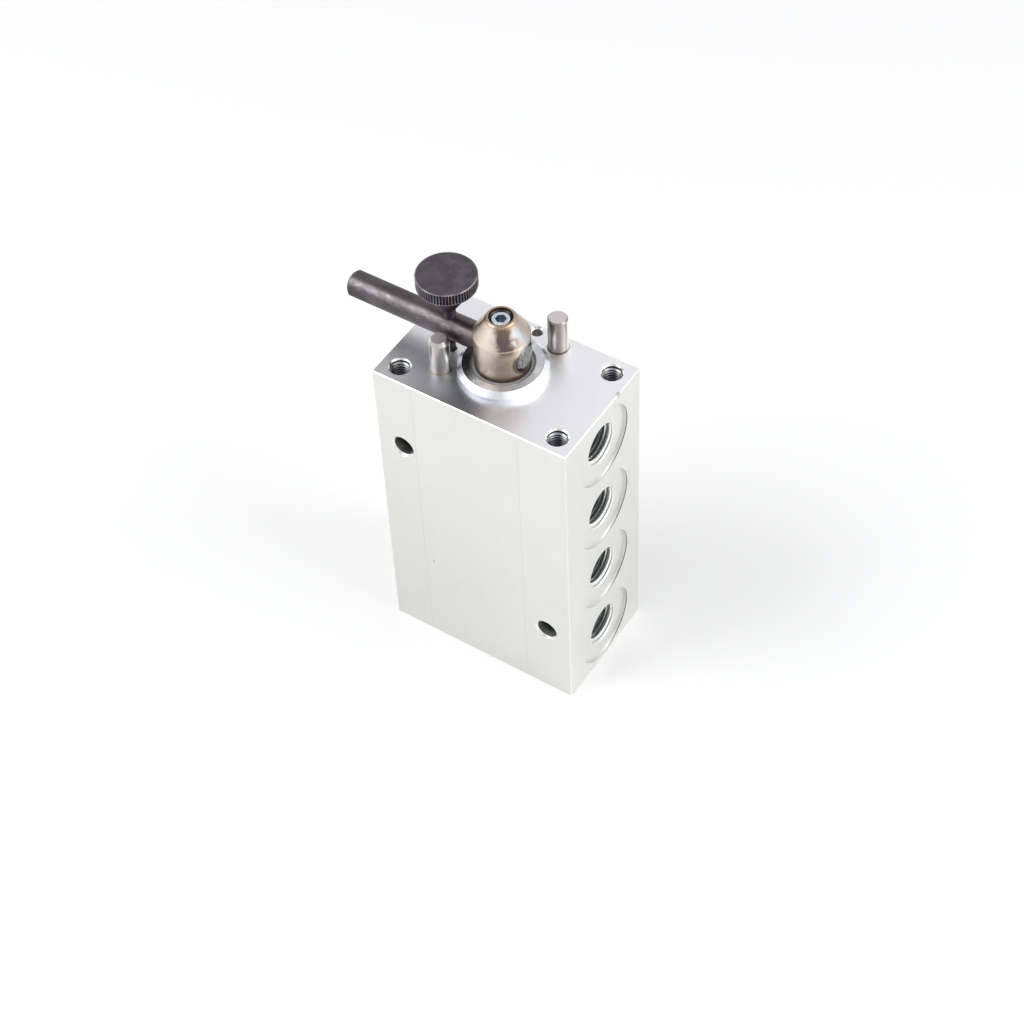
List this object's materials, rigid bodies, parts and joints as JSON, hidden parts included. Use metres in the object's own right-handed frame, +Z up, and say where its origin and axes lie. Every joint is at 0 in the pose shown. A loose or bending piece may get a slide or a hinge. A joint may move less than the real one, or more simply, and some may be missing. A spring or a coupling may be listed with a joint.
{
  "type": "rotary selector valve",
  "caption": "Rectangular steel valve block with threaded ports down one side, a rotary spool turned by a rod lever between stop pins, and a thumb screw that locks the lever.",
  "frame": {"origin": "middle of the block's top face, midway between its front left and back right tapped holes; the spool's axis is 0.5 mm to the left of it and 0.3 mm in front", "axes": "+Z up, parallel to the spool's axis, +X out of the threaded ports, -Y out of the plain front face; the lever at rest points along -X"},
  "size_m": [0.0844, 0.04, 0.1388],
  "materials": {
    "block_zinc": "machined steel block with a satin zinc coat",
    "gland_zinc": "turned and bright zinc plated",
    "spool_bronzed": "hardened and ground steel, tinted yellow brown",
    "rod_phosphate": "dark phosphate, oiled, worn in patches",
    "index_grey": "mottled grey, burnished edge",
    "pin_steel": "ground satin steel",
    "screw_zinc": "bright zinc plated",
    "seal_rubber": "smooth nitrile rubber",
    "wiper_rubber": "grey polyurethane",
    "backup_plastic": "pale fluoropolymer",
    "washer_bronze": "bearing bronze",
    "plug_steel": "turned steel",
    "circlip_steel": "blackened spring steel"
  },
  "bodies": {
    "block": {"valve_body": "block_zinc", "gland_ring": "gland_zinc", "gland_o_ring": "seal_rubber", "gland_backup_ring": "backup_plastic", "stem_o_ring": "seal_rubber", "stem_backup_ring": "backup_plastic", "wiper_ring": "wiper_rubber", "upper_thrust_washer": "washer_bronze", "lower_thrust_washer": "washer_bronze", "bottom_end_plug": "plug_steel", "end_plug_o_ring": "seal_rubber", "end_plug_backup_ring": "backup_plastic", "bore_circlip": "circlip_steel", "stop_pin_left": "pin_steel", "stop_pin_right": "pin_steel"},
    "spool": {"rotary_spool": "spool_bronzed", "spool_core_plug": "plug_steel", "lever_rod": "rod_phosphate", "lever_set_screw": "screw_zinc"},
    "index": {"index_screw": "index_grey"}
  },
  "joints": [
    {"name": "lever_turn", "type": "hinge", "parent": "block", "child": "spool", "pos_m": [-0.0005, -0.0003, 0], "axis": [0, 0, -1], "range_deg": [0, 90]},
    {"name": "index_lift", "type": "slide", "parent": "spool", "child": "index", "axis": [0, 0, 1], "range_m": [-0.0022, 0.004]}
  ]
}
